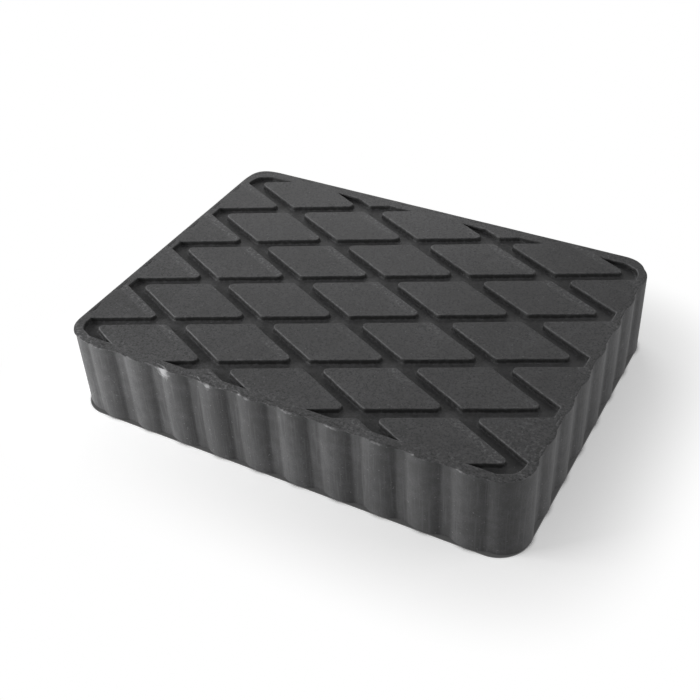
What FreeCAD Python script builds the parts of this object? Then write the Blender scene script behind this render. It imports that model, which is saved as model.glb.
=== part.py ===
"""Rubber pad for the arm of a vehicle lift: one moulded block with a diamond tread and ribbed walls.

Frame: millimetres, origin at the centre of the flat underside, +X along the length, +Z up.
"""

import FreeCAD
import Part

import math
import os

# Block, measured over the crowns of the wall ribs
length = 160.0
width = 120.0
thickness = 30.0
corner_radius = 9.5
edge_chamfer = 0.5

# Upright ribs of the four walls: rounded humps with a flat channel between them
rib_pitch = 14.25
rib_width = 10.75
rib_height = 1.5
least_flat = 0.8
least_flank = 3.0

# Diamond tread: raised lands, with crossing grooves between them
tread_depth = 1.6
diamond_pitch_long = 51.6
diamond_pitch_wide = 25.3
groove_width = 3.9
land_corner_radius = 1.5

# Plain rim that the grooves stop at
rim_long_sides = 4.0
rim_short_ends = 3.3
rim_corner_radius = 6.5

cut_clearance = 1.0


def arc_through(start, middle, end):
    """One circular arc edge through three points."""
    return Part.Arc(start, middle, end).toShape()


def rise_radius(run):
    """Radius of the arc that comes up to a crown, level there, from a foot at this distance."""
    return (run**2 + rib_height**2) / (2 * rib_height)


def fall_run(radius, inset):
    """Distance from the crown of such an arc to its foot, when it is drawn inset inside itself."""
    return math.sqrt((radius - inset) ** 2 - (radius - rib_height - inset) ** 2)


def floor_ended_ribs(half_span):
    """Number of ribs on a wall that starts and ends level with its channels, and its end flanks."""
    channel = rib_pitch - rib_width
    count = int((2 * (half_span - least_flat) + channel) // rib_pitch)
    return count, 0.0


def crown_ended_ribs(half_span):
    """Number of ribs on a wall that starts and ends level with its crowns, and its end flanks."""
    channel = rib_pitch - rib_width
    count = int((2 * (half_span - least_flank) - channel) // rib_pitch)
    return count, half_span - (count * rib_pitch + channel) / 2


def wall_profile(half_span, count, flank, inset):
    """Plan profile of one wall, as rows of (position along the wall, height above the channels).

    A row of three points is an arc, over a whole rib or down a flank from a corner, and a row
    of two points is a straight channel. The profile is drawn inset inside the wall's surface.
    """
    crown = rib_height - inset
    floor = -inset
    rib_run = fall_run(rise_radius(rib_width / 2), inset)
    flank_rows = []
    position = -half_span
    if flank > 0:
        radius = rise_radius(flank)
        flank_run = fall_run(radius, inset)
        midway = rib_height - radius + math.sqrt((radius - inset) ** 2 - (flank_run / 2) ** 2)
        position = flank_run - half_span
        flank_rows = [[(-half_span, crown), (flank_run / 2 - half_span, midway), (position, floor)]]
    foot = -position
    rows = list(flank_rows)
    for k in range(count):
        centre = (k - (count - 1) / 2) * rib_pitch
        rows.append([(position, floor), (centre - rib_run, floor)])
        rows.append([(centre - rib_run, floor), (centre, crown), (centre + rib_run, floor)])
        position = centre + rib_run
    rows.append([(position, floor), (foot, floor)])
    for row in flank_rows:
        rows.append([(-along, height) for along, height in reversed(row)])
    return rows


def wall_edges(rows, level, turn, height_up):
    """Edges of one wall: the profile, set off by level from the centre and turned about it."""
    cosine = round(math.cos(math.radians(turn)))
    sine = round(math.sin(math.radians(turn)))

    def place(along, height):
        out = -(level + height)
        return FreeCAD.Vector(along * cosine - out * sine, along * sine + out * cosine, height_up)

    edges = []
    for row in rows:
        points = [place(*point) for point in row]
        if len(points) == 3:
            edges.append(arc_through(*points))
        else:
            edges.append(Part.makeLine(*points))
    return edges


def corner_edge(start, end, sign_x, sign_y, inset):
    """Corner arc, between the channels of a long wall and the crowns of a short one."""
    centre = FreeCAD.Vector(
        sign_x * (length / 2 - corner_radius),
        sign_y * (width / 2 - rib_height - corner_radius),
        start.z,
    )
    diagonal = FreeCAD.Vector(sign_x, sign_y, 0).normalize() * (corner_radius - inset)
    return arc_through(start, centre + diagonal, end)


def block_outline(inset, height_up):
    """Outline of the block at one height: four ribbed walls joined by plain round corners.

    An inset outline runs that far inside the walls all the way round.
    """
    half_front = length / 2 - corner_radius
    half_side = width / 2 - rib_height - corner_radius
    long_rows = wall_profile(half_front, *floor_ended_ribs(half_front), inset)
    short_rows = wall_profile(half_side, *crown_ended_ribs(half_side), inset)
    long_level = width / 2 - rib_height
    short_level = length / 2 - rib_height
    walls = [
        wall_edges(long_rows, long_level, 0, height_up),
        wall_edges(short_rows, short_level, 90, height_up),
        wall_edges(long_rows, long_level, 180, height_up),
        wall_edges(short_rows, short_level, 270, height_up),
    ]
    signs = [(1, -1), (1, 1), (-1, 1), (-1, -1)]
    edges = []
    for wall, following, (sign_x, sign_y) in zip(walls, walls[1:] + walls[:1], signs):
        start = wall[-1].valueAt(wall[-1].LastParameter)
        end = following[0].valueAt(following[0].FirstParameter)
        edges.extend(wall)
        edges.append(corner_edge(start, end, sign_x, sign_y, inset))
    return Part.Wire(edges)


def rounded_polygon(corners, radius):
    """Closed wire through the corners, each rounded by an arc that touches both its sides."""
    edges = []
    stops = []
    count = len(corners)
    for k, corner in enumerate(corners):
        to_last = (corners[k - 1] - corner).normalize()
        to_next = (corners[(k + 1) % count] - corner).normalize()
        half_angle = to_last.getAngle(to_next) / 2
        reach = radius / math.tan(half_angle)
        bisector = (to_last + to_next).normalize()
        depth = radius / math.sin(half_angle) - radius
        stops.append((corner + to_last * reach, corner + bisector * depth, corner + to_next * reach))
    for k, (arrive, middle, leave) in enumerate(stops):
        edges.append(arc_through(arrive, middle, leave))
        edges.append(Part.makeLine(leave, stops[(k + 1) % count][0]))
    return Part.Wire(edges)


def tread_field():
    """Solid of the whole field that the grooves lie in, inside the rim."""
    half_long = length / 2 - rim_short_ends
    half_wide = width / 2 - rim_long_sides
    corners = [
        FreeCAD.Vector(-half_long, -half_wide, thickness - tread_depth),
        FreeCAD.Vector(half_long, -half_wide, thickness - tread_depth),
        FreeCAD.Vector(half_long, half_wide, thickness - tread_depth),
        FreeCAD.Vector(-half_long, half_wide, thickness - tread_depth),
    ]
    outline = Part.Face(rounded_polygon(corners, rim_corner_radius))
    return outline.extrude(FreeCAD.Vector(0, 0, tread_depth + cut_clearance))


def diamond_land():
    """One raised diamond at the centre: the lattice cell less half a groove on each side."""
    cell_long = diamond_pitch_long / 2
    cell_wide = diamond_pitch_wide / 2
    cell_height = 2 * cell_long * cell_wide / math.hypot(cell_long, cell_wide)
    share = 1 - groove_width / cell_height
    bottom = thickness - tread_depth - cut_clearance
    corners = [
        FreeCAD.Vector(cell_long * share, 0, bottom),
        FreeCAD.Vector(0, cell_wide * share, bottom),
        FreeCAD.Vector(-cell_long * share, 0, bottom),
        FreeCAD.Vector(0, -cell_wide * share, bottom),
    ]
    outline = Part.Face(rounded_polygon(corners, land_corner_radius))
    return outline.extrude(FreeCAD.Vector(0, 0, tread_depth + 3 * cut_clearance))


def tread_grooves():
    """The grooves: the tread field less a diamond at every place of the staggered lattice."""
    land = diamond_land()
    step_long = diamond_pitch_long / 2
    step_wide = diamond_pitch_wide / 2
    columns = math.ceil(length / 2 / step_long)
    rows = math.ceil(width / 2 / step_wide)
    lands = []
    for column in range(-columns, columns + 1):
        for row in range(-rows, rows + 1):
            if (column + row) % 2 == 0:
                copy = land.copy()
                copy.translate(FreeCAD.Vector(column * step_long, row * step_wide, 0))
                lands.append(copy)
    return tread_field().cut(lands)


def ribbed_block():
    """The block without its tread, its outer edges eased above and below."""
    sections = [
        block_outline(edge_chamfer, 0.0),
        block_outline(0.0, edge_chamfer),
        block_outline(0.0, thickness - edge_chamfer),
        block_outline(edge_chamfer, thickness),
    ]
    return Part.makeLoft(sections, True, True)


def rubber_pad():
    """The pad: the ribbed block less the tread grooves."""
    return ribbed_block().cut(tread_grooves())


os.makedirs("parts", exist_ok=True)
pad = rubber_pad()
pad.exportStep("parts/rubber_pad.step")
print("solids", len(pad.Solids), "faces", len(pad.Faces), "valid", pad.isValid())
print("volume in cubic centimetres", round(pad.Volume / 1000, 1))
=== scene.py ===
# %% [markdown]
# A rubber pad for the arm of a vehicle lift
#
# The real thing is one block of black rubber, pressed in a two-part mould. Its top has a net of
# shallow grooves round raised diamonds, its four walls have rounded upright ribs, and the edge
# where the mould halves met is a little ragged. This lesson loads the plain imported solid, builds a
# finer skin over it from formulas, gives that skin a dusty rubber finish, and photographs it.

import itertools
import math

import bmesh
import bpy
import numpy as np
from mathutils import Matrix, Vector
from mathutils.geometry import delaunay_2d_cdt


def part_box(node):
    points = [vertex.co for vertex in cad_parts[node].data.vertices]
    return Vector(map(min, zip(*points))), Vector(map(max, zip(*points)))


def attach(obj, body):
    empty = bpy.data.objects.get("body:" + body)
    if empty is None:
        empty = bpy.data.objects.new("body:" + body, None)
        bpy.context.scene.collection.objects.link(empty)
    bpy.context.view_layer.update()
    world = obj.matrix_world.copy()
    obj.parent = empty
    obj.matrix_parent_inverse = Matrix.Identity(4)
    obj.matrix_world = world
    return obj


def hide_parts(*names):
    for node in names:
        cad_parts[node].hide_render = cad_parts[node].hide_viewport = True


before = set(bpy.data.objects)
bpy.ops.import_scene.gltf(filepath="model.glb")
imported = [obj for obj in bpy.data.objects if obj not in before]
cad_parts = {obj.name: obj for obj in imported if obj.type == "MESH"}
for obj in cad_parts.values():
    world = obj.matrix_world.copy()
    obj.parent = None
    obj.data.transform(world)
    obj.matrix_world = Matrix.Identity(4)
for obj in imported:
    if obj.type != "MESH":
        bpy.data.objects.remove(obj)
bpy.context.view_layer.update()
block_low, block_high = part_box("rubber_pad")
print("nodes", sorted(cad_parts), "block from", tuple(block_low), "to", tuple(block_high))

# %% [markdown]
# Sizes
#
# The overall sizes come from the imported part. The mould's own sizes, such as the pitch of the ribs
# and of the diamonds, could be typed wherever they are needed, but one list of names shows what can
# be changed. All of it is in millimetres, and every formula below works in millimetres. Only the
# last step, which stores the mesh, turns them into Blender's metres.

# %% Sizes of the block, its ribs and its tread
millimetre = 0.001
block = (block_high - block_low) / millimetre
length = round(block.x, 2)
width = round(block.y, 2)
thickness = round(block.z, 2)
corner_radius = 9.5

rib_pitch = 14.25
rib_width = 10.75
rib_height = 1.5
ribs_on_long_wall = 10
ribs_on_short_wall = 6
end_flank = 4.5

tread_depth = 1.6
cell_long = 51.6 / 2
cell_wide = 25.3 / 2
groove_width = 3.9
land_corner_radius = 1.5
rim_long_sides = 4.0
rim_short_ends = 3.3
rim_corner_radius = 6.5
print("block", length, width, thickness, "half diamond cell", cell_long, cell_wide)

# %% [markdown]
# Smooth random numbers
#
# Moulded rubber is never exact: edges waver by a few hundredths of a millimetre and faces are
# slightly wavy. A Displace modifier with a cloud texture could give that to a finished mesh. A
# smooth random field in numpy is used instead, because it can be asked for its value at any point
# before there is a mesh. Its table is seeded, so each run of this script gives the same pad.

# %% Smooth noise in space
table_side = 64


def smooth_noise(points, cell, seed):
    """Smooth random number from -1 to 1 at each point.

    Random values sit on the corners of cubes of side cell. In between, they are blended along each
    axis with the weight 3 t^2 - 2 t^3, where t runs from 0 to 1 across the cube.
    """
    table = np.random.default_rng(seed).uniform(-1, 1, (table_side,) * 3)
    scaled = points / cell
    lowest = np.floor(scaled).astype(int)
    across = scaled - lowest
    weight = across * across * (3 - 2 * across)
    total = np.zeros(points.shape[:-1])
    for corner in itertools.product((0, 1), repeat=3):
        at = (lowest + corner) % table_side
        share = np.prod(np.where(corner, weight, 1 - weight), axis=-1)
        total += table[at[..., 0], at[..., 1], at[..., 2]] * share
    return total


print("noise sample", smooth_noise(np.array([[1.0, 2.0, 3.0]]), 5.0, 1))

# %% [markdown]
# The ribbed outline
#
# Seen from above, each rib is a shallow circular arc and the channels between ribs are flat. Arcs
# and lines could be drawn one by one as a curve. A height over the channel floor, worked out for
# any place along a wall, is shorter, and a smooth maximum of two heights gives it the mould's small
# fillet where arc and floor meet.

# %% Profile of the ribs
foot_blend = 0.28


def arc_radius(run):
    """Radius of an arc that is level at its crown and reaches the channel floor at this run."""
    return (run**2 + rib_height**2) / (2 * rib_height)


def arc_height(distance, run):
    """Height of that arc over the channel floor, at a distance from its crown: R cos - (R - h)."""
    radius = arc_radius(run)
    inside = np.clip(radius**2 - distance**2, 0, None)
    return np.sqrt(inside) - (radius - rib_height)


def smooth_larger(first, second, blend):
    """The larger of two numbers, plus (blend - gap)^2 / (4 blend) where the gap is under blend."""
    gap = np.clip(blend - np.abs(first - second), 0, None)
    return np.maximum(first, second) + gap**2 / (4 * blend)


def rib_profile(along, count):
    """Height over the channel floor of a row of count ribs, centred on 0."""
    middle = (count - 1) / 2
    nearest = np.clip(np.round(along / rib_pitch + middle), 0, count - 1) - middle
    distance = along - nearest * rib_pitch
    return smooth_larger(arc_height(distance, rib_width / 2), np.zeros_like(along), foot_blend)


print("crown and channel", rib_profile(np.array([rib_pitch / 2, 0.0]), ribs_on_long_wall))

# %% The closed outline, as points and outward directions
column_spacing = 0.5
half_long = length / 2
half_wide = width / 2
channel_level = half_wide - rib_height
front_span = half_long - corner_radius
side_span = channel_level - corner_radius


def front_wall():
    """Points along the front wall: x runs along it, and y stands out by the rib profile."""
    count = math.ceil(2 * front_span / column_spacing)
    x = np.linspace(-front_span, front_span, count + 1)[:-1]
    return np.stack([x, -channel_level - rib_profile(x, ribs_on_long_wall)], -1)


def right_wall():
    """Points along the right wall, whose ends come down from crown level in an end flank."""
    count = math.ceil(2 * side_span / column_spacing)
    y = np.linspace(-side_span, side_span, count + 1)[:-1]
    from_end = side_span - np.abs(y)
    flank = np.where(from_end < rib_width / 2, arc_height(from_end, end_flank), -rib_height)
    out = smooth_larger(rib_profile(y, ribs_on_short_wall), flank, foot_blend)
    return np.stack([half_long - rib_height + out, y], -1)


def plain_corner(side, first_angle):
    """Quarter circle, anticlockwise from its first angle, about the corner's centre."""
    count = math.ceil(corner_radius * math.pi / 2 / column_spacing)
    angle = first_angle + np.linspace(0, math.pi / 2, count + 1)[:-1]
    centre = np.array([front_span, side * side_span])
    return centre + corner_radius * np.stack([np.cos(angle), np.sin(angle)], -1)


front_right_corner = plain_corner(-1, -math.pi / 2)
back_right_corner = plain_corner(1, 0)
half_outline = np.concatenate([front_wall(), front_right_corner, right_wall(), back_right_corner])
outline = np.concatenate([half_outline, -half_outline])
step_along = np.roll(outline, -1, axis=0) - np.roll(outline, 1, axis=0)
step_along /= np.linalg.norm(step_along, axis=1, keepdims=True)
outward = np.stack([step_along[:, 1], -step_along[:, 0]], -1)
print("columns round the outline", len(outline), "reach", outline.min(axis=0), outline.max(axis=0))

# %% [markdown]
# The walls
#
# A wall is the outline carried downwards: a grid of columns round the block and rows down it. Its
# first rows turn over the top edge in a quarter circle and its last rows turn under the bottom
# edge. The mould leaves fine upright streaks, and at the top of the front wall the rubber that had
# squeezed between the mould halves was torn off, which leaves rough, pale patches. Sculpting could
# make them, but not twice alike. Here both are small moves of the grid along the outward direction,
# always inwards, so the pad keeps its real size.

# %% The torn places along the top edge
torn_places = [
    (-39.8, 3.0, 1.15, 4.0),
    (-27.5, 3.0, 0.8, 1.0),
    (-22.0, 1.6, 0.9, 1.8),
    (-12.5, 2.6, 0.8, 0.9),
    (-8.0, 1.4, 0.6, 1.4),
    (6.0, 2.6, 0.6, 0.8),
    (20.5, 3.0, 0.55, 0.7),
    (35.5, 2.6, 0.55, 0.9),
    (46.5, 1.8, 0.5, 0.7),
    (61.5, 2.8, 0.5, 0.8),
]


def torn_strength(x, y, drop):
    """How torn the top of the front wall is.

    Each torn place has its centre, its reach along the wall, its strength and its reach down. It
    is a bell curve along the wall times a bell curve down the wall.
    """
    strength = np.zeros(np.broadcast(x, drop).shape)
    for centre, reach, amount, reach_down in torn_places:
        one_place = amount * np.exp(-((x - centre) / reach) ** 2 - (drop / reach_down) ** 2)
        strength = np.maximum(strength, one_place)
    return strength * (y < -channel_level + rib_height)


torn_here = torn_strength(outline[:, 0], outline[:, 1], 0.0)
print("torn places", len(torn_places), "strongest", torn_here.max())

# %% Rows of the wall
top_edge_radius = 0.42
top_edge_waver = 0.16
top_edge_fine_waver = 0.08
top_edge_torn_away = 0.12
bottom_edge_radius = 0.45
rows_over_edge = 6
close_rows = 10
close_rows_reach = 4.0
close_rows_crowding = 1.4
lower_rows = 13
lower_rows_start = 5.6
rows_under_edge = 5


def rows_of_wall(radius):
    """Two arrays, rows by columns: how far inside the outline, and how far down from the top.

    Above, a quarter circle has the inset r (1 - sin) and the drop r (1 - cos). Below, it has the
    inset r (1 - cos). Between them, the rows are close together near the top, where the rubber is
    torn, and wide apart further down.
    """
    turn = np.linspace(0, math.pi / 2, rows_over_edge)[:, None]
    top_inset = radius * (1 - np.sin(turn))
    top_drop = radius * (1 - np.cos(turn))
    near_top = np.linspace(0, 1, close_rows)[1:, None] ** close_rows_crowding * close_rows_reach + radius
    lower_end = thickness - bottom_edge_radius
    lower = np.linspace(lower_rows_start, lower_end, lower_rows)[:, None] + 0 * radius
    under = np.linspace(0, math.pi / 2, rows_under_edge)[1:, None]
    bottom_inset = bottom_edge_radius * (1 - np.cos(under)) + 0 * radius
    bottom_drop = lower_end + bottom_edge_radius * np.sin(under) + 0 * radius
    inset = np.concatenate([top_inset, 0 * near_top, 0 * lower, bottom_inset])
    drop = np.concatenate([top_drop, near_top, lower, bottom_drop])
    return inset, drop


around = np.concatenate([outline, np.zeros((len(outline), 1))], axis=1)
edge_radius = top_edge_radius + top_edge_waver * smooth_noise(around, 2.3, 11)
edge_radius += top_edge_fine_waver * smooth_noise(around, 0.9, 12) + top_edge_torn_away * torn_here
wall_inset, wall_drop = rows_of_wall(edge_radius)
print("wall grid", wall_inset.shape, "top edge radius from", edge_radius.min(), "to", edge_radius.max())

# %% The wall grid, with streaks and torn rubber
streak_depth = 0.05
streak_stretch = 12
wave_depth = 0.05
torn_depth = 0.14
plain_edge_height = 0.5


def wall_relief(points, drop, torn):
    """Depth of the marks in the wall: upright streaks, slow waves, and tears near the top edge.

    A streak is noise whose heights are squeezed to a twelfth, so it hardly changes down the wall.
    All marks fade out over the first half millimetre, where the wall turns over the edge.
    """
    stretched = points * [1, 1, 1 / streak_stretch]
    streak = 0.6 * smooth_noise(stretched, 1.6, 21) + 0.4 * smooth_noise(stretched, 0.8, 22)
    wave = smooth_noise(points, 9.0, 23)
    tear = 0.5 + 0.5 * smooth_noise(points * [1, 1, 0.7], 1.3, 24)
    ease = np.clip(drop / plain_edge_height, 0, 1)
    return ease * (streak_depth * (1 + streak) / 2 + wave_depth * (1 + wave) / 2 + torn_depth * tear * torn)


flat_wall = np.empty(wall_inset.shape + (3,))
flat_wall[..., :2] = outline - outward * wall_inset[..., None]
flat_wall[..., 2] = thickness - wall_drop
wall_torn = torn_strength(flat_wall[..., 0], flat_wall[..., 1], wall_drop)
relief = wall_relief(flat_wall, wall_drop, wall_torn)
wall = flat_wall.copy()
wall[..., :2] -= outward * relief[..., None]
print("wall points", wall[..., 0].size, "deepest mark", relief.max())

# %% [markdown]
# The tread
#
# A Boolean modifier could cut the grooves, but it leaves sharp edges and sliver faces, and rubber
# has neither. So the top is one height field. How deep a point lies depends only on how far it is
# from the nearest groove wall, and that distance has a formula: the distance to a rounded diamond,
# folded so that one diamond stands for all of them, and the distance to the rounded rectangle of
# the rim. Going into a groove, the surface turns over a small edge, drops down a steep wall, and
# turns out onto the floor in a fillet.

# %% Distances to a diamond and to the rim
cell_height = 2 * cell_long * cell_wide / math.hypot(cell_long, cell_wide)
land_share = 1 - groove_width / cell_height
corner_share = land_share - 2 * land_corner_radius / cell_height
land_long = cell_long * corner_share
land_wide = cell_wide * corner_share


def diamond_distance(x, y):
    """Distance to a sharp diamond with half diagonals land_long and land_wide, negative inside.

    Both coordinates are folded positive. The foot of the perpendicular on the one remaining side
    is kept between the side's ends, and the sign is that of x / long + y / wide - 1.
    """
    x = np.abs(x)
    y = np.abs(y)
    share = (land_wide * y - land_long * (x - land_long)) / (land_long**2 + land_wide**2)
    share = np.clip(share, 0, 1)
    far = np.hypot(x - land_long * (1 - share), y - land_wide * share)
    return far * np.sign(x / land_long + y / land_wide - 1)


def nearest_land(x, y):
    """Distance to the nearest rounded land of the staggered lattice, negative on the land."""
    nearest = np.full(x.shape, np.inf)
    for shift in (0, 1):
        folded_x = (x - shift * cell_long + cell_long) % (2 * cell_long) - cell_long
        folded_y = (y - shift * cell_wide + cell_wide) % (2 * cell_wide) - cell_wide
        nearest = np.minimum(nearest, diamond_distance(folded_x, folded_y))
    return nearest - land_corner_radius


def rounded_box(x, y, half_x, half_y, radius):
    """Distance to a rectangle with round corners, negative inside."""
    past_x = np.abs(x) - (half_x - radius)
    past_y = np.abs(y) - (half_y - radius)
    outside = np.hypot(np.clip(past_x, 0, None), np.clip(past_y, 0, None))
    return outside + np.minimum(np.maximum(past_x, past_y), 0) - radius


def from_rim(x, y):
    """Distance to the rim round the grooves, positive on the rim and negative in the field."""
    return rounded_box(x, y, half_long - rim_short_ends, half_wide - rim_long_sides, rim_corner_radius)


def into_groove(x, y):
    """How far a point is inside a groove, and negative on the lands and the rim."""
    return np.minimum(-from_rim(x, y), nearest_land(x, y))


print("middle of a land", into_groove(np.zeros(1), np.zeros(1)), "land sides", land_share)

# %% Section of a groove wall, from the land down to the floor
land_edge_radius = 0.26
wall_run = 0.2
foot_radius = 0.42
flat_beside_edge = 0.09
land_line_inset = 1.0
floor_line_reach = 0.45


def groove_section():
    """Rows of (distance into the groove, depth): a quarter circle, a steep wall, a quarter circle.

    Two flat rows on the land and one on the floor keep the shading of the curves off the flats.
    """
    turn = np.linspace(0, math.pi / 2, 4)
    edge = np.stack([land_edge_radius * (np.sin(turn) - 1), land_edge_radius * (1 - np.cos(turn))], -1)
    foot_along = wall_run + foot_radius * (1 - np.cos(turn))
    foot_down = tread_depth - foot_radius + foot_radius * np.sin(turn)
    foot = np.stack([foot_along, foot_down], -1)
    flat = [(-land_line_inset, 0.0), (-land_edge_radius - flat_beside_edge, 0.0)]
    floor = [(wall_run + foot_radius + floor_line_reach, tread_depth)]
    return np.concatenate([flat, edge, foot, floor])


section = groove_section()
print("rows of the groove section", len(section))

# %% [markdown]
# A mesh that follows the tread
#
# An even grid fine enough for a 0.2 mm wall would need a million faces. So the mesh gets its lines
# where the shape turns: each row of the groove section becomes a loop round every land and round
# the rim. A constrained Delaunay triangulation keeps those lines, cuts them where they cross, and
# fills what lies between with well-shaped triangles. It also bridges the hollows of the border, so
# each triangle that touches the border is kept only if its centre is inside.

# %% Loops at one distance from a rounded outline
loop_spacing = 1.15


def loop_about(centres, radius, steps):
    """Closed loop at one distance round a polygon of centres, anticlockwise.

    Each corner is an arc from the outward direction of the side before it to that of the side
    after it. Each side is the polygon's own side, moved out by the radius.
    """
    sides = np.roll(centres, -1, axis=0) - centres
    outward_angle = np.arctan2(-sides[:, 0], sides[:, 1])
    angle_before = np.roll(outward_angle, 1)
    stretches = []
    for centre, side, before, after, count in zip(centres, sides, angle_before, outward_angle, steps):
        turn = (after - before) % (2 * math.pi)
        angle = before + turn * np.linspace(0, 1, count + 1)
        arc = centre + radius * np.stack([np.cos(angle), np.sin(angle)], -1)
        shares = np.linspace(0, 1, math.ceil(np.hypot(*side) / loop_spacing) + 1)[1:-1, None]
        stretches += [arc, arc[-1] + shares * side]
    return np.concatenate(stretches)


diamond_corners = np.array([[land_long, 0], [0, land_wide], [-land_long, 0], [0, -land_wide]])
rim_centre_x = half_long - rim_short_ends - rim_corner_radius
rim_centre_y = half_wide - rim_long_sides - rim_corner_radius
rim_corners = np.array([[1, -1], [1, 1], [-1, 1], [-1, -1]]) * [rim_centre_x, rim_centre_y]
steps_of_land_corners = [8, 4, 8, 4]
steps_of_rim_corners = [14] * 4
one_land = [
    loop_about(diamond_corners, land_corner_radius + into, steps_of_land_corners) for into, _ in section
]
print("points round one land", [len(loop) for loop in one_land])

# %% All the lines of the top sheet
keep_margin = 1.1
inner_border_inset = 0.45


class Lines:
    """Points and the edges between them, collected for the triangulation."""

    def __init__(self):
        self.points = []
        self.edges = []
        self.count = 0

    def add_loop(self, loop, keep):
        """Adds the part of a closed loop whose points are kept, with an edge between neighbours."""
        new_index = np.where(keep, self.count + np.cumsum(keep) - 1, -1)
        pairs = np.stack([new_index, np.roll(new_index, -1)], -1)
        self.points.append(loop[keep])
        self.edges.append(pairs[(pairs >= 0).all(axis=1)])
        self.count += int(keep.sum())

    def add_points(self, points):
        """Adds points without edges."""
        self.points.append(points)
        self.count += len(points)


def with_border(border):
    """Lines that start with a closed border and a second loop just inside it."""
    made = Lines()
    everywhere = np.ones(len(border), bool)
    made.add_loop(border, everywhere)
    made.add_loop(border - outward * inner_border_inset, everywhere)
    return made


lines = with_border(wall[0, :, :2])
columns_of_lands = math.ceil(half_long / cell_long)
rows_of_lands = math.ceil(half_wide / cell_wide)
for column in range(-columns_of_lands, columns_of_lands + 1):
    for row in range(-rows_of_lands, rows_of_lands + 1):
        if (column + row) % 2 == 0:
            for loop in one_land:
                placed = loop + [column * cell_long, row * cell_wide]
                lines.add_loop(placed, from_rim(placed[:, 0], placed[:, 1]) < keep_margin)
for into, _ in section:
    loop = loop_about(rim_corners, rim_corner_radius - into, steps_of_rim_corners)
    lines.add_loop(loop, nearest_land(loop[:, 0], loop[:, 1]) > -keep_margin)
print("points on lines", lines.count)

# %% Points between the lines
fill_spacing = 1.9
fill_shake = 0.1
clear_of_lines = 1.35
clear_of_border = 1.3


def fill_points():
    """A staggered grid, shaken by a tenth of its spacing, without the points near any line."""
    along_x = np.arange(-half_long, half_long, fill_spacing)
    along_y = np.arange(-half_wide, half_wide, fill_spacing)
    x, y = np.meshgrid(along_x, along_y)
    x[1::2] += fill_spacing / 2
    shake = np.random.default_rng(31).uniform(-fill_shake, fill_shake, (2,) + x.shape) * fill_spacing
    x = (x + shake[0]).ravel()
    y = (y + shake[1]).ravel()
    inside = rounded_box(x, y, half_long - rib_height, channel_level, corner_radius) < -clear_of_border
    keep = inside & (np.abs(into_groove(x, y)) > clear_of_lines)
    return np.stack([x[keep], y[keep]], -1)


lines.add_points(fill_points())
print("points of the top sheet", lines.count)

# %% Triangulate the top sheet and give it its heights
same_point = 1e-5


def inside_loop(points, loop):
    """Whether each point is inside the loop: a ray to its right crosses the loop an odd number of times."""
    x, y = points[:, :1], points[:, 1:]
    start_x, start_y = loop.T
    end_x, end_y = np.roll(loop, -1, axis=0).T
    rise = np.where(end_y == start_y, 1, end_y - start_y)
    crossing_x = start_x + (y - start_y) / rise * (end_x - start_x)
    crossed = ((start_y > y) != (end_y > y)) & (crossing_x > x)
    return crossed.sum(axis=1) % 2 == 1


def triangulate(sheet_lines, border_count):
    """Points and triangles inside the border, which is the first border_count points."""
    flat = [Vector(point) for point in np.concatenate(sheet_lines.points).tolist()]
    edges = np.concatenate(sheet_lines.edges).tolist()
    whole_hull = 0
    result = delaunay_2d_cdt(flat, edges, [], whole_hull, same_point, False)
    points = np.array([tuple(point) for point in result[0]])
    faces = np.array([list(face) for face in result[2]])
    touching = np.flatnonzero((faces < border_count).any(axis=1))
    centres = points[faces[touching]].mean(axis=1)
    outside = touching[~inside_loop(centres, points[:border_count])]
    return points, np.delete(faces, outside, axis=0)


top_flat, top_faces = triangulate(lines, len(outline))
top_x, top_y = top_flat.T
depth = np.interp(into_groove(top_x, top_y), section[:, 0], section[:, 1])
top_sheet = np.stack([top_x, top_y, thickness - depth], -1)
print("top sheet", len(top_sheet), "points", len(top_faces), "triangles", "deepest", depth.max())

# %% [markdown]
# Waver
#
# On the real pad no groove edge is ruler-straight and no face quite flat. A bump in the material
# could suggest it, but the outlines of the lands would stay straight. So the exact sheet is bent a
# little, sideways and downwards. Both fade out at the border, where the sheet has to meet the wall
# point for point.

# %% Bend the top sheet
sideways_waver = 0.07
face_waver = 0.035
still_border = 1.4
fade_length = 2.5


def waver(points):
    """Moves of each point: two sideways noises and one that only lowers, faded at the border."""
    room = -rounded_box(points[:, 0], points[:, 1], half_long - rib_height, channel_level, corner_radius)
    fade = np.clip((room - still_border) / fade_length, 0, 1)
    flat = points * [1, 1, 0]
    move = np.zeros_like(points)
    move[:, 0] = sideways_waver * (smooth_noise(flat, 5.0, 41) + 0.5 * smooth_noise(flat, 1.8, 42))
    move[:, 1] = sideways_waver * (smooth_noise(flat, 5.0, 43) + 0.5 * smooth_noise(flat, 1.8, 44))
    move[:, 2] = -face_waver * (1 + 0.6 * smooth_noise(flat, 7.0, 45) + 0.4 * smooth_noise(flat, 2.5, 46))
    return move * fade[:, None]


top_sheet = top_sheet + waver(top_sheet)
print("highest point", top_sheet[:, 2].max())

# %% The flat underside
bottom_flat, bottom_faces = triangulate(with_border(wall[-1, :, :2]), len(outline))
bottom_sheet = np.concatenate([bottom_flat, np.zeros((len(bottom_flat), 1))], axis=1)
bottom_faces = bottom_faces[:, ::-1]
print("underside", len(bottom_sheet), "points", len(bottom_faces), "triangles")

# %% [markdown]
# The web along the top edge
#
# The mould's halves met at the top edge, and rubber squeezed out there as a thin web. On the back
# and left it was trimmed in straight lines level with the crowns of the ribs, so it spans the
# channels. On the front and right it was pulled off, and only a ragged rest is left in the channels.
# The web hangs over the channels, which rows of the wall can't do without folding. So it is a band
# of its own: a section of a few points, carried round a rounded rectangle, with its inner edge
# hidden in the block.

# %% The line that the web follows
web_corner_radius = 10.5
web_spacing = 0.6


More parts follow.
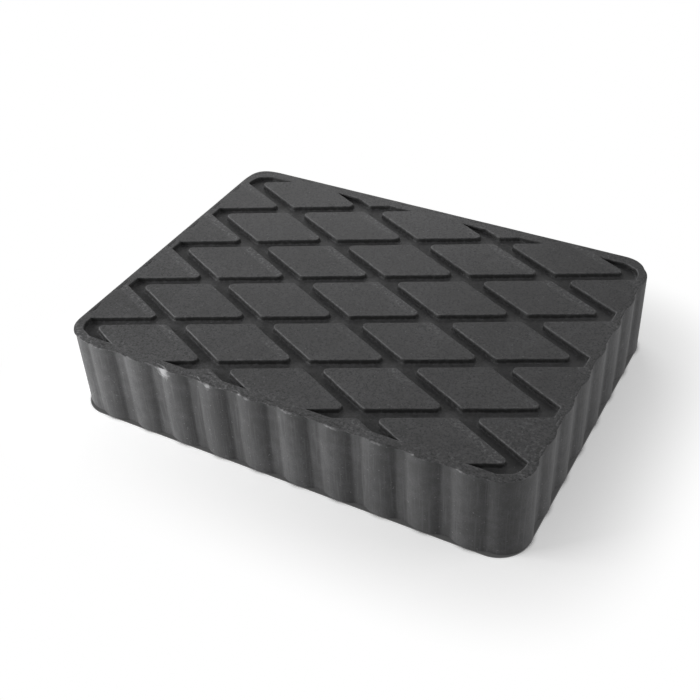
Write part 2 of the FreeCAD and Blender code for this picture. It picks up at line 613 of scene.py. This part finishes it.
def rounded_rectangle(spacing):
    """Points round the block's box, anticlockwise, with the outward direction at each.

    One half has points along the back right arc, the back, the back left arc and the back half of
    the left side. Turned half round about the centre, it gives the other half. The front half of
    the left side and the back half of the right side are one straight step each.
    """
    corner_x = half_long - web_corner_radius
    corner_y = half_wide - web_corner_radius
    turn = np.linspace(0, math.pi / 2, math.ceil(web_corner_radius * math.pi / 2 / spacing) + 1)
    along_x = np.linspace(corner_x, -corner_x, math.ceil(2 * corner_x / spacing) + 1)[1:-1]
    along_y = np.linspace(corner_y, -corner_y, math.ceil(2 * corner_y / spacing) + 1)[1:-1]
    arc = np.stack([np.cos(turn), np.sin(turn)], -1)
    first = [corner_x, corner_y] + web_corner_radius * arc
    top = np.stack([along_x, 0 * along_x + half_wide], -1)
    second = [-corner_x, corner_y] + web_corner_radius * arc[::-1] * [-1, 1]
    left = np.stack([0 * along_y - half_long, along_y], -1)
    half = np.concatenate([first, top, second, left])
    top_out = np.tile([0.0, 1.0], (len(top), 1))
    left_out = np.tile([-1.0, 0.0], (len(left), 1))
    half_out = np.concatenate([arc, top_out, arc[::-1] * [-1, 1], left_out])
    keep_half = (half[:, 1] > 0) | ((half[:, 1] == 0) & (half[:, 0] < 0))
    points = np.concatenate([half[keep_half], -half[keep_half]])
    return points, np.concatenate([half_out[keep_half], -half_out[keep_half]])


web_line, web_out = rounded_rectangle(web_spacing)
print("points round the web", len(web_line))

# %% Where the web ends
web_trimmed_inset = 0.05
web_ragged_inset = 0.85
web_corner_reach = 1.0


def web_inset(points, out):
    """How far inside the rounded rectangle the web ends.

    It is hardly at all where the web was trimmed, and ragged elsewhere. Round the back left corner
    the web was left wider, by the cube of a bump that is 1 on the diagonal and 0 at the corner's ends.
    """
    flat = np.concatenate([points, np.zeros((len(points), 1))], axis=1)
    trimmed = web_trimmed_inset + 0.03 * smooth_noise(flat, 6.0, 51)
    ragged = web_ragged_inset + 0.22 * smooth_noise(flat, 2.4, 52) + 0.12 * smooth_noise(flat, 1.0, 53)
    pulled_off = np.clip(0.5 + 1.5 * (out @ [0.7, -0.7]), 0, 1)
    half_way = math.sqrt(0.5)
    bump = np.clip((out @ [-half_way, half_way] - half_way) / (1 - half_way), 0, 1)
    return trimmed + pulled_off * (ragged - trimmed) - web_corner_reach * bump**3


web_end = web_inset(web_line, web_out)
print("web ends inside the box by", web_end.min(), "to", web_end.max())

# %% The band of the web
web_drop = 0.035
web_thickness = 0.34
web_hidden_edge = 2.6
web_edge_radius = 0.11
web_taper = 0.06


def web_loop(inset, height_up):
    """The web's line, moved inwards by the inset at each point, at one height."""
    return np.column_stack([web_line - web_out * inset[:, None], 0 * inset + height_up])


hidden = 0 * web_end + web_hidden_edge
web_top = thickness - web_drop
web_below = web_top - web_thickness
web_rows = [web_loop(hidden, web_top)]
for angle in np.linspace(0, math.pi / 2, 4):
    inset = web_end + web_edge_radius * (1 - math.sin(angle))
    web_rows.append(web_loop(inset, web_top - web_edge_radius * (1 - math.cos(angle))))
web_rows += [web_loop(web_end + web_taper, web_below), web_loop(hidden, web_below)]
web = np.stack(web_rows)
print("web", web.shape, "reach", web.min(axis=(0, 1)), web.max(axis=(0, 1)))

# %% [markdown]
# One closed skin
#
# The real pad is one piece, so its skin is one mesh too. Top, wall and underside could stay three
# objects that only touch, but then the seams would show in the shading and nothing would be closed.
# They meet point for point along the two borders, so the doubled points are merged, and every edge
# then has exactly two faces. The web is a closed band in the same mesh. Three numbers travel with
# the points: how deep in a groove a point is, how torn it is, and how much edge wear and painted
# highlight it gets. The material reads them.

# %% Store a mesh
merge_distance = 2e-7


def wall_quads(rows, columns, first):
    """Four corners of every cell of the grid, anticlockwise from outside, closed round the block."""
    row, column = np.meshgrid(np.arange(rows - 1), np.arange(columns), indexing="ij")
    here = first + row * columns + column
    beside = first + row * columns + (column + 1) % columns
    return np.stack([here, here + columns, beside + columns, beside], -1).reshape(-1, 4)


def skin_object(name, points, faces, numbers):
    """A smooth mesh object in metres at the origin, carrying numbers on its points."""
    mesh = bpy.data.meshes.new(name)
    mesh.from_pydata((points * millimetre).tolist(), [], faces)
    for label, values in numbers.items():
        attribute = mesh.attributes.new(label, "FLOAT", "POINT")
        attribute.data.foreach_set("value", values.astype(np.float32))
    build = bmesh.new()
    build.from_mesh(mesh)
    bmesh.ops.remove_doubles(build, verts=build.verts, dist=merge_distance)
    build.to_mesh(mesh)
    build.free()
    mesh.shade_smooth()
    edge_of_corner = np.empty(len(mesh.loops), np.int32)
    mesh.loops.foreach_get("edge_index", edge_of_corner)
    open_edges = int((np.bincount(edge_of_corner) != 2).sum())
    made = bpy.data.objects.new(name, mesh)
    bpy.context.scene.collection.objects.link(made)
    print(name, "faces", len(mesh.polygons), "edges without two faces", open_edges)
    return made


print("merge distance in metres", merge_distance)

# %% Worn edges of the lands, with painted highlights
# The side of the lands that faces the front left, where the edges and the feet get a painted highlight.
lit_side_x = 0.44
lit_side_y = 0.9
slope_step = 0.05


def bell(value, centre, reach):
    """Bell curve: e to the power of -((value - centre) / reach)^2."""
    return np.exp(-(((value - centre) / reach) ** 2))


def edge_wear_and_highlight(x, y):
    """Pale edges of the lands and a pale line at the feet of the groove walls, from 0 to 1.

    The edges are partly wear and partly a painted highlight, and the line at the feet is a painted
    highlight. Both are bell curves of the distance into the groove. They are strongest where the wall
    faces the front left, found from the slope of the distance.
    """
    into = into_groove(x, y)
    rise_x = nearest_land(x + slope_step, y) - nearest_land(x - slope_step, y)
    rise_y = nearest_land(x, y + slope_step) - nearest_land(x, y - slope_step)
    slope_x = rise_x / (2 * slope_step)
    slope_y = rise_y / (2 * slope_step)
    facing = np.clip(-(slope_x * lit_side_x + slope_y * lit_side_y), 0, 1)
    edge = bell(into, -0.2, 0.12) * (0.1 + 0.9 * facing)
    foot = bell(into, 0.72, 0.2) * 0.3 * facing
    return np.maximum(edge, foot)


wear_and_highlight = edge_wear_and_highlight(top_x, top_y)
print("most worn", wear_and_highlight.max())

# %% Join the sheets and the web
rows, columns = wall_inset.shape
quads = wall_quads(rows, columns, len(top_sheet))
bottom_first = len(top_sheet) + wall[..., 0].size
web_first = bottom_first + len(bottom_sheet)
web_quads = wall_quads(len(web) + 1, len(web_line), 0) % (len(web) * len(web_line)) + web_first
skin_points = np.concatenate([top_sheet, wall.reshape(-1, 3), bottom_sheet, web.reshape(-1, 3)])
skin_faces = top_faces.tolist() + quads.tolist() + (bottom_faces + bottom_first).tolist() + web_quads.tolist()
none_on_top = np.zeros(len(top_sheet))
none_on_wall = np.zeros(wall[..., 0].size)
none_beyond = np.zeros(len(bottom_sheet) + web[..., 0].size)
numbers = {
    "groove": np.concatenate([depth / tread_depth, none_on_wall, none_beyond]),
    "torn": np.concatenate([none_on_top, wall_torn.ravel(), none_beyond]),
    "wear_and_highlight": np.concatenate([wear_and_highlight, none_on_wall, none_beyond]),
}
pad = skin_object("moulded_pad", skin_points, skin_faces, numbers)
print("triangles", len(top_faces) + 2 * len(quads) + len(bottom_faces) + 2 * len(web_quads))

# %% [markdown]
# Shader arithmetic
#
# A material is a network of nodes. It could be wired by hand, one link at a time, but written as
# plain arithmetic it is easier to read. So one small class stands for a number that changes over
# the surface, and adds a Math node for each operation. Every other node comes from one method of
# the recipe.

# %% A number on the surface, and a recipe of nodes


class Number:
    """A number that varies over a surface. Arithmetic on it adds Math nodes."""

    def __init__(self, recipe, socket):
        self.recipe = recipe
        self.socket = socket

    def joined(self, operation, first, second):
        node = self.recipe.node("ShaderNodeMath", {"operation": operation}, {0: first, 1: second})
        return Number(self.recipe, node.outputs[0])

    def __add__(self, other):
        return self.joined("ADD", self, other)

    __radd__ = __add__

    def __mul__(self, other):
        return self.joined("MULTIPLY", self, other)

    __rmul__ = __mul__

    def __sub__(self, other):
        return self.joined("SUBTRACT", self, other)

    def __rsub__(self, other):
        return self.joined("SUBTRACT", other, self)

    def __mod__(self, other):
        return self.joined("FLOORED_MODULO", self, other)

    def __pow__(self, other):
        return self.joined("POWER", self, other)

    def at_most(self, other):
        return self.joined("MINIMUM", self, other)

    def at_least(self, other):
        return self.joined("MAXIMUM", self, other)


class Recipe:
    """The nodes of one material or of the world."""

    def __init__(self, owner):
        owner.use_nodes = True
        self.tree = owner.node_tree
        self.tree.nodes.clear()

    def node(self, kind, settings, sockets):
        """One node: its settings first, then a value or a link for each named or numbered socket."""
        made = self.tree.nodes.new(kind)
        for name, value in settings.items():
            setattr(made, name, value)
        for key, value in sockets.items():
            if isinstance(value, Number):
                self.tree.links.new(value.socket, made.inputs[key])
            elif isinstance(value, bpy.types.NodeSocket):
                self.tree.links.new(value, made.inputs[key])
            else:
                made.inputs[key].default_value = value
        return made

    def noise(self, size, detail=2.0, stretch=(1, 1, 1), shift=0.0):
        """Soft random number from 0 to 1 whose lumps are about size millimetres across."""
        place = self.node("ShaderNodeTexCoord", {}, {}).outputs["Object"]
        scale = [1 / (size * millimetre * along) for along in stretch]
        mapping = {"Vector": place, "Scale": scale, "Location": (shift, shift, shift)}
        mapped = self.node("ShaderNodeMapping", {}, mapping).outputs[0]
        made = self.node("ShaderNodeTexNoise", {}, {"Vector": mapped, "Scale": 1.0, "Detail": detail})
        return Number(self, made.outputs[0])

    def place(self):
        """The three coordinates on the object, in millimetres."""
        metres = self.node("ShaderNodeTexCoord", {}, {}).outputs["Object"]
        parts = self.node("ShaderNodeSeparateXYZ", {}, {0: metres}).outputs
        return [Number(self, parts[axis]) * (1 / millimetre) for axis in "XYZ"]

    def stored(self, label):
        """The number that the mesh carries under this label."""
        return Number(self, self.node("ShaderNodeAttribute", {"attribute_name": label}, {}).outputs["Fac"])

    def between(self, number, low, high):
        """0 below low and 1 above high, with a smooth step in between."""
        settings = {"interpolation_type": "SMOOTHSTEP"}
        made = self.node("ShaderNodeMapRange", settings, {0: number, 1: low, 2: high, 3: 0.0, 4: 1.0})
        return Number(self, made.outputs[0])

    def blend(self, share, first, second):
        """Colour between two colours, by a share from 0 to 1."""
        made = self.node("ShaderNodeMix", {"data_type": "RGBA"}, {0: share, 6: first, 7: second})
        return made.outputs[2]

    def mix(self, share, first, second):
        """Shader between the shaders of two nodes, by a share from 0 to 1."""
        return self.node("ShaderNodeMixShader", {}, {0: share, 1: first.outputs[0], 2: second.outputs[0]})


print("recipe ready")

# %% [markdown]
# Dusty black rubber
#
# Black rubber is not black: it is a dark, nearly neutral grey with a broad, weak sheen. Pale dust
# lies in the grain and in hairlines down the walls. The grooves get painted shade, darkest on their
# walls. A painted image could show all that, but it would need the pad laid out flat, with seams,
# and it would blur when seen from near. So each mark is one blend between two greys, steered by
# noise at the scale of the real mark. The marks are laid over each other in steps, one function for
# each group of marks.

# %% Bare rubber with dust, grain and streaks
# The darkest grey is painted shade in the grooves, and the colour of the nicks on the front rim.
shade_and_nick_black = (0.010, 0.010, 0.010, 1)
deep_grey = (0.040, 0.040, 0.041, 1)
rubber_grey = (0.072, 0.072, 0.073, 1)
dusty_grey = (0.105, 0.105, 0.107, 1)
# Chalky grey: pale strips, specks and scuffs, and a painted highlight on the lands' edges.
chalky_and_highlight_grey = (0.24, 0.24, 0.245, 1)
torn_grey = (0.30, 0.30, 0.305, 1)


def bare_rubber(recipe, on_top, on_wall, mottle, grain):
    """Clouds of dust, a grain that is coarser on top, and pale hairlines down the walls."""
    cloud = recipe.noise(34.0, 3.0)
    fleck = recipe.noise(0.9, 2.0, shift=26.0)
    streak = recipe.noise(1.1, 3.0, stretch=(1, 1, 14), shift=2.0)
    hairline = recipe.between(recipe.noise(0.55, 2.0, stretch=(1, 1, 26), shift=17.0), 0.54, 0.66)
    dust = recipe.between(0.5 * cloud + 0.5 * mottle, 0.40, 0.66)
    tone = recipe.blend(dust, rubber_grey, dusty_grey)
    coarse_grain = (2.4 * (grain - 0.5) + 2.6 * (fleck - 0.5)) * on_top
    tone = recipe.blend(coarse_grain + 1.1 * (grain - 0.42) + 0.3 * streak, tone, deep_grey)
    return recipe.blend(0.55 * hairline * on_wall, tone, dusty_grey)


print("rubber greys from", shade_and_nick_black[0], "to", torn_grey[0])

# %% [markdown]
# Pale strips and marks of handling
#
# Each land has a paler, mottled strip along its upper right side, with a thin line where the strip ends.
# The front rim is scuffed and nicked, the front right of the top is scuffed, and specks lie
# everywhere. The strips could be stored with the points, like the depth of the grooves, but the
# points on a land are too far apart for an edge a fifth of a millimetre wide. The material works
# them out instead.

# %% Pale strips, specks, scuffs and nicks


def paler_strip(recipe, x, y):
    """Share of the strip along the upper right side of each land, and of the line where it ends.

    Along that side x / cell length + y / cell width is constant, and the sum changes evenly with
    the distance from it. Folding the sum lets one land stand for all.
    """
    across = (x * (1 / cell_long) + y * (1 / cell_wide) + 1) % 2 - 1
    from_side = (land_share - across) * (cell_height / 2)
    strip = recipe.between(from_side, -0.2, 0.4) * (1 - recipe.between(from_side, 2.4, 3.1))
    line = recipe.between(from_side, 2.75, 2.95) * (1 - recipe.between(from_side, 2.95, 3.15))
    return strip, line


def handled_rubber(recipe, tone, on_top):
    """The colour with pale strips, specks, scuffs and nicks, strongest in some wide patches."""
    x, y, _ = recipe.place()
    strip, line = paler_strip(recipe, x, y)
    blotch = recipe.between(recipe.noise(1.0, 4.0, shift=21.0), 0.48, 0.68)
    handled = recipe.between(recipe.noise(22.0, 1.0, shift=40.0), 0.36, 0.60)
    paler = (strip * 0.55 * blotch + 0.16 * line + 0.06 * strip) * handled * on_top
    tone = recipe.blend(paler, tone, chalky_and_highlight_grey)
    specks = recipe.between(recipe.noise(0.8, 1.0, shift=15.0), 0.70, 0.78)
    tone = recipe.blend(0.5 * specks, tone, chalky_and_highlight_grey)
    front_rim = recipe.between(0 - y, 50.0, 56.5) * on_top
    right_end = recipe.between(x, 52.0, 72.0) * on_top
    scuffed = front_rim.at_least(right_end * recipe.between(0 - y, 0.0, 30.0))
    tone = recipe.blend(scuffed * blotch * (0.12 + 0.3 * handled), tone, chalky_and_highlight_grey)
    nick = recipe.between(recipe.noise(1.3, 2.0, stretch=(3, 1, 1), shift=30.0), 0.64, 0.70)
    return recipe.blend(front_rim * nick * 0.6, tone, shade_and_nick_black)


print("rubbed strips start at the share", land_share, "of half a cell")

# %% [markdown]
# Painted shade in the grooves, pale edges and torn rubber
#
# The grooves get painted shade: nearly black halfway down their walls, darker in patches on their
# floors, and less dark towards the right end. The lands' edges are pale in dashes, partly worn and
# partly a painted highlight, and torn rubber looks chalky. Noise can't know where a groove or a tear
# is, so these steps read the numbers that travel with the points of the mesh.

# %% Painted groove shade, worn and highlighted edges, and torn rubber


def grooves_and_edges(recipe, tone, torn, ragged):
    """The colour with painted shade in the grooves, worn and highlighted edges, and torn rubber.

    With the depth g from 0 on a land to 1 on the floor, 4 g (1 - g) is 1 halfway down a groove wall.
    """
    x, _, _ = recipe.place()
    # Painted shade: the grooves are blended towards black, most halfway down their walls, in patches on their
    # floors, and less towards the right end.
    groove = recipe.stored("groove")
    groove_wall_shade = 4 * groove * (1 - groove)
    patchy = recipe.between(recipe.noise(1.2, 3.0, shift=33.0), 0.35, 0.65)
    shade_fades_right = recipe.between(x, 50.0, 74.0)
    painted_floor_shade = groove * (0.12 + 0.36 * patchy) * (1 - 0.8 * shade_fades_right)
    painted_shade = painted_floor_shade + groove_wall_shade * (0.72 + 0.45 * patchy)
    tone = recipe.blend(painted_shade.at_most(0.95), tone, shade_and_nick_black)
    # Pale dashes on the lands' edges: partly wear and partly a painted highlight on the sides that face the
    # front left, plus a painted highlight at the feet of those walls.
    dashes = recipe.between(recipe.noise(1.4, 3.0, shift=12.0), 0.35, 0.6)
    tone = recipe.blend(recipe.stored("wear_and_highlight") * (0.1 + 0.5 * dashes), tone, chalky_and_highlight_grey)
    return recipe.blend(recipe.between(torn + 1.1 * (ragged - 0.5), 0.22, 0.85), tone, torn_grey)


print("numbers that the material reads", sorted(numbers))

# %% [markdown]
# The finish as a whole
#
# Besides its colour, rubber has a sheen and a fine relief. The sheen is rougher where dust lies or
# the rubber is torn. The grain could be modelled, but at a tenth of a millimetre that would need
# millions of faces, so a bump only tilts the light on it.

# %% Rubber finish
bump_height = 0.1


def rubber_finish():
    """Moulded black rubber: the colour in three steps, a weak sheen and a fine bump."""
    material = bpy.data.materials.new("black_rubber")
    recipe = Recipe(material)
    _, _, z = recipe.place()
    on_top = recipe.between(z, thickness - 0.5, thickness - 0.2)
    on_wall = 1 - recipe.between(z, thickness - 3.0, thickness - 1.0)
    mottle = recipe.noise(3.2, 4.0, shift=4.0)
    grain = recipe.noise(0.45, 2.0, shift=9.0)
    pores = recipe.noise(1.3, 3.0, shift=6.0)
    ragged = recipe.noise(0.7, 4.0, shift=7.0)
    torn = recipe.stored("torn")
    tone = bare_rubber(recipe, on_top, on_wall, mottle, grain)
    tone = handled_rubber(recipe, tone, on_top)
    tone = grooves_and_edges(recipe, tone, torn, ragged)
    roughness = 0.50 + 0.16 * mottle + 0.10 * grain + 0.15 * torn
    height = 0.5 * grain + 0.5 * pores + 0.8 * torn * ragged
    tilt = {"Strength": 0.6, "Distance": bump_height * millimetre, "Height": height}
    bump = recipe.node("ShaderNodeBump", {}, tilt).outputs[0]
    look = {"Base Color": tone, "Roughness": roughness, "Normal": bump, "Specular IOR Level": 0.2}
    shader = recipe.node("ShaderNodeBsdfPrincipled", {}, look)
    recipe.node("ShaderNodeOutputMaterial", {}, {"Surface": shader.outputs[0]})
    return material


pad.data.materials.append(rubber_finish())
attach(pad, "root")
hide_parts("rubber_pad")
print("finish", pad.data.materials[0].name)

# %% [markdown]
# Table
#
# The pad lies on a white table in a white room. Plain white paper would come out as grey wherever
# less light falls on it. So the camera sees the table as pure white, apart from the pad's own soft
# shadow and a painted, nearly black shadow close under its walls, while the pad gets no more light
# from it than plain paper gives.

# %% White table
table_half = 3.0
paper_white = 0.8
paper_seen = 1.5
shadow_long = 105
shadow_wide = 85
shadow_near = -0.6
shadow_far = 1.8
# The contact and pocket numbers set a painted shadow: a nearly black glow under the walls and inside the
# pad's rounded rectangle.
contact_reach = 3.0
contact_starts = 0.26
contact_full = 0.60
painted_shadow_share = 0.93
painted_shadow_level = 0.02
pocket_full = -0.35
pocket_ends = 0.15


def seen_directly(recipe):
    """1 where the camera, or a reflection or refraction of it, looks straight at the surface."""
    rays = recipe.node("ShaderNodeLightPath", {}, {}).outputs
    seen = Number(recipe, rays["Is Camera Ray"]).at_least(Number(recipe, rays["Is Glossy Ray"]))
    return seen.at_least(Number(recipe, rays["Is Transmission Ray"]))


def away_from_pad(recipe):
    """0 under the pad's middle and growing outwards: (x / shadow_long)^4 + (y / shadow_wide)^4."""
    x, y, _ = recipe.place()
    x = x * (1 / shadow_long)
    y = y * (1 / shadow_wide)
    return (x * x) ** 2 + (y * y) ** 2


def beyond_box(recipe):
    """Distance in millimetres outside the round-cornered rectangle that the crowns of the ribs touch."""
    x, y, _ = recipe.place()
    past_x = ((x * x) ** 0.5 - (half_long - web_corner_radius)).at_least(0)
    past_y = ((y * y) ** 0.5 - (half_wide - web_corner_radius)).at_least(0)
    return (past_x * past_x + past_y * past_y) ** 0.5 - web_corner_radius


def white_paper():
    """Matt paper. Its own light on the pad is that of plain paper, and to the eye it is pure white.

    The brighter colour that the eye sees is above 1, and away from the pad it is a glow of exactly
    1. So the pad's shadow is soft round the walls and fades outwards into white. In the corner under
    the walls, and in the pockets between the ribs' feet, the eye sees a painted shadow: a nearly black
    glow, set by ambient occlusion and by the pad's rounded rectangle.
    """
    material = bpy.data.materials.new("white_paper")
    recipe = Recipe(material)
    plain = recipe.node("ShaderNodeBsdfDiffuse", {}, {"Color": (paper_white,) * 3 + (1,)})
    bright = recipe.node("ShaderNodeBsdfDiffuse", {}, {"Color": (paper_seen,) * 3 + (1,)})
    glow = recipe.node("ShaderNodeEmission", {}, {"Color": (1, 1, 1, 1), "Strength": 1.0})
    away = recipe.between(away_from_pad(recipe), shadow_near, shadow_far)
    seen = recipe.mix(away, bright, glow)
    # Painted shadow: near the walls, by ambient occlusion, and inside the rounded rectangle of the crowns,
    # the eye sees a nearly black glow instead of the paper.
    reach = {"Distance": contact_reach * millimetre}
    corner = recipe.node("ShaderNodeAmbientOcclusion", {"samples": 8}, reach)
    hidden_sky = 1 - Number(recipe, corner.outputs["AO"])
    shade_under_wall = recipe.between(hidden_sky, contact_starts, contact_full)
    pocket_shadow = 1 - recipe.between(beyond_box(recipe), pocket_full, pocket_ends)
    painted_shade = recipe.node("ShaderNodeEmission", {}, {"Color": (1, 1, 1, 1), "Strength": painted_shadow_level})
    seen = recipe.mix(painted_shadow_share * shade_under_wall.at_least(pocket_shadow), seen, painted_shade)
    both = recipe.mix(seen_directly(recipe), plain, seen)
    recipe.node("ShaderNodeOutputMaterial", {}, {"Surface": both.outputs[0]})
    return material


table_mesh = bpy.data.meshes.new("table")
table_corners = np.array([[-1, -1, 0], [1, -1, 0], [1, 1, 0], [-1, 1, 0]]) * table_half
table_mesh.from_pydata(table_corners.tolist(), [], [(0, 1, 2, 3)])
table = bpy.data.objects.new("table", table_mesh)
bpy.context.scene.collection.objects.link(table)
table.data.materials.append(white_paper())
print("table", 2 * table_half, "metres wide")

# %% [markdown]
# Light
#
# The room itself gives hardly any light, but it is white to the eye. The light comes from five
# square soft lamps, most of them low, as in a light tent: the two on the left are the strongest,
# graze the ribs and draw their left flanks. None stands over the pad, so the groove walls that face
# the camera fall dark. An even white sky would be simpler, but it would wash out ribs and grooves.

# %% Room light
room_strength = 0.02


def white_room(strength):
    """A world that is pure white to the eye and in reflections, and lights the pad softly."""
    world = bpy.data.worlds.new("white_room")
    recipe = Recipe(world)
    shown = seen_directly(recipe) * (1 - strength) + strength
    glow = recipe.node("ShaderNodeBackground", {}, {"Color": (1, 1, 1, 1), "Strength": shown})
    recipe.node("ShaderNodeOutputWorld", {}, {"Surface": glow.outputs[0]})
    bpy.context.scene.world = world


white_room(room_strength)
print("world", bpy.context.scene.world.name)

# %% Lamps
lamp_size = 0.22


def soft_lamp(name, azimuth, elevation, distance, power):
    """A square lamp at a distance from the pad's middle, turned towards it.

    Azimuth is anticlockwise from the pad's right end, and elevation is above the table.
    """
    light = bpy.data.lights.new(name, "AREA")
    light.size = lamp_size
    light.energy = power
    lamp = bpy.data.objects.new(name, light)
    azimuth = math.radians(azimuth)
    elevation = math.radians(elevation)
    flat = math.cos(elevation)
    towards = Vector((math.cos(azimuth) * flat, math.sin(azimuth) * flat, math.sin(elevation)))
    lamp.location = Vector((0, 0, thickness * millimetre / 2)) + distance * towards
    lamp.rotation_euler = towards.to_track_quat("Z", "Y").to_euler()
    bpy.context.scene.collection.objects.link(lamp)


soft_lamp("front_left_lamp", 220, 12, 0.45, 2.03)
soft_lamp("left_lamp", 200, 12, 0.45, 0.94)
soft_lamp("back_left_lamp", 120, 28, 0.30, 0.27)
soft_lamp("back_right_lamp", 20, 12, 0.45, 0.50)
soft_lamp("right_lamp", 340, 12, 0.45, 0.33)

# %% [markdown]
# Camera
#
# A camera could be placed by eye, but then the ribs and the diamonds would not all fall on their
# places. So its place and lens come from fitting the block's edges, the diamonds and the ribs to
# the photograph. It stands about 37 cm from the pad, so perspective is strong. Its place is in
# metres, its turn in degrees, and its lens and sensor in millimetres.

# %% Camera
sensor_width = 36
camera_place = (0.14705, -0.25756, 0.24459)
camera_turn = (51.434, 2.55, 28.801)
focal_length = 56.748

camera_data = bpy.data.cameras.new("camera")
camera_data.sensor_width = sensor_width
camera_data.lens = focal_length
camera = bpy.data.objects.new("camera", camera_data)
camera.location = camera_place
camera.rotation_euler = [math.radians(angle) for angle in camera_turn]
bpy.context.scene.collection.objects.link(camera)
bpy.context.scene.camera = camera
bpy.context.scene.view_settings.view_transform = "Standard"
print("camera", tuple(camera.location))
